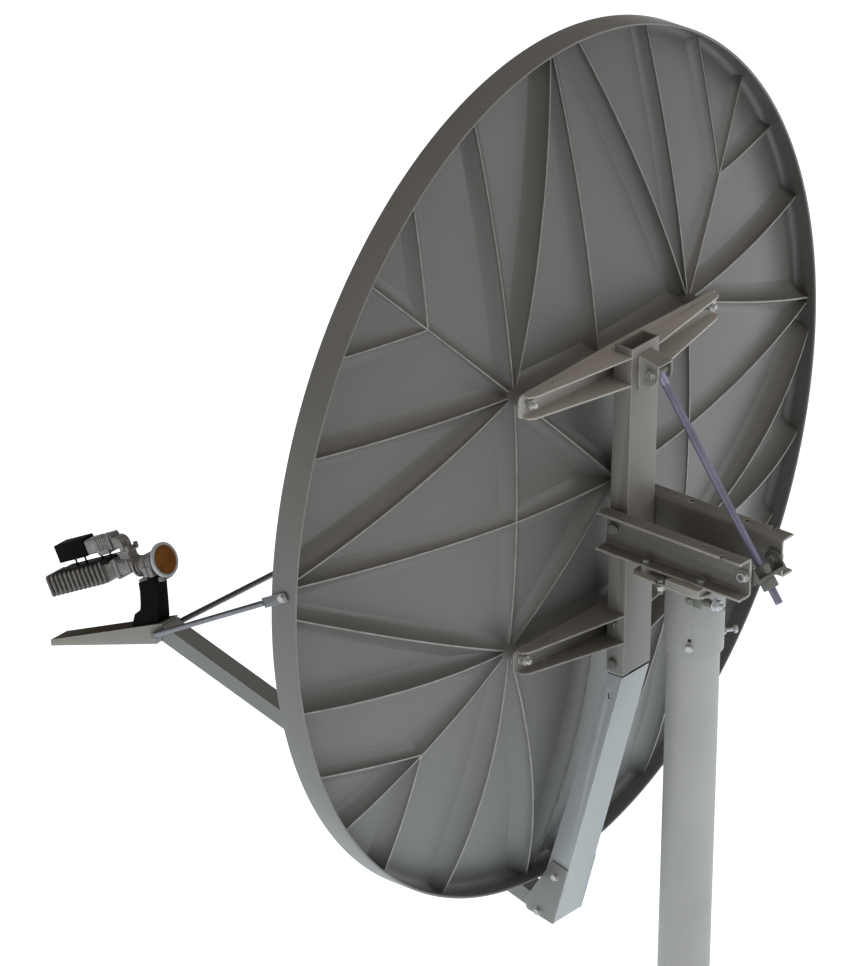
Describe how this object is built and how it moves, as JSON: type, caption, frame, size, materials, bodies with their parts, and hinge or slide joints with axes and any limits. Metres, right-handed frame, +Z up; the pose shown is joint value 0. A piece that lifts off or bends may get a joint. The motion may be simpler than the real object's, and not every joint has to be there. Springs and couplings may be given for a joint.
{
  "type": "offset dish antenna on a pipe mast",
  "caption": "Ground-station dish antenna: a ribbed offset reflector with its feed on a boom, tilting on a yoke that turns on a pipe mast.",
  "frame": {"origin": "centre of the mast's foot, at ground level", "axes": "+Z up along the mast, -Y the way the dish faces at rest, +X towards the dish's own left hand"},
  "size_m": [1.8452, 2.0222, 2.7414],
  "materials": {
    "reflector_coat": "moulded composite, painted warm grey, satin",
    "mount_coat": "warm grey paint on steel, satin",
    "mast_coat": "pale grey galvanised pipe, matt",
    "zinc_steel": "zinc-plated steel",
    "passivated_rod": "threaded steel rod with a violet passivated tint",
    "cast_metal": "cast aluminium, bare",
    "dark_casting": "finned aluminium casting, weathered grey-brown",
    "black_plastic": "black moulded plastic",
    "horn_coat": "pale grey painted aluminium",
    "window_film": "orange-brown window film"
  },
  "bodies": {
    "mast": {"mast_pipe": "mast_coat"},
    "yoke": {"azimuth_collar": "mast_coat", "azimuth_plate": "mount_coat", "azimuth_adjuster": "zinc_steel", "yoke_channel_left": "mount_coat", "yoke_channel_right": "mount_coat", "pivot_bolt": "zinc_steel"},
    "trunnion": {"trunnion_block": "mount_coat", "trunnion_nut_upper": "zinc_steel", "trunnion_nut_lower": "zinc_steel"},
    "reflector": {"back_tube": "mount_coat", "boom_gusset_left": "mount_coat", "boom_gusset_right": "mount_coat", "boom_strut": "mount_coat", "clevis_bolt": "zinc_steel", "cross_channel_lower": "mount_coat", "cross_channel_upper": "mount_coat", "feed_boom": "mount_coat", "feed_bracket": "black_plastic", "feed_horn": "horn_coat", "feed_rod_left": "zinc_steel", "feed_rod_right": "zinc_steel", "feed_tray": "mount_coat", "horn_flange": "cast_metal", "horn_window": "window_film", "receiver": "black_plastic", "receiver_waveguide_body": "cast_metal", "reflector_rim": "reflector_coat", "reflector_shell": "reflector_coat", "ribs_centre": "reflector_coat", "ribs_lower_left": "reflector_coat", "ribs_lower_middle": "reflector_coat", "ribs_lower_right": "reflector_coat", "ribs_upper_left": "reflector_coat", "ribs_upper_middle": "reflector_coat", "ribs_upper_right": "reflector_coat", "rod_clevis": "mount_coat", "transducer": "cast_metal", "transmitter": "dark_casting", "waveguide_elbow": "cast_metal"},
    "rod": {"elevation_rod": "passivated_rod"}
  },
  "joints": [
    {"name": "azimuth_turn", "type": "hinge", "parent": "mast", "child": "yoke", "pos_m": [0, 0, 1.6], "axis": [0, 0, 1], "continuous": true},
    {"name": "elevation_tilt", "type": "hinge", "parent": "yoke", "child": "reflector", "pos_m": [0, -0.173, 1.683], "axis": [-1, 0, 0], "range_deg": [-12.7, 47.3]},
    {"name": "rod_swing", "type": "hinge", "parent": "reflector", "child": "rod", "pos_m": [0, -0.115, 2.053], "axis": [-1, 0, 0], "range_deg": [-19.8, 5.6]},
    {"name": "trunnion_turn", "type": "hinge", "parent": "yoke", "child": "trunnion", "pos_m": [0, 0.168, 1.68], "axis": [-1, 0, 0], "range_deg": [-7.9, 28.3]}
  ],
  "couplings": [
    {"joint": "rod_swing", "follows": "elevation_tilt", "ratio": -0.41},
    {"joint": "trunnion_turn", "follows": "elevation_tilt", "ratio": 0.59}
  ]
}
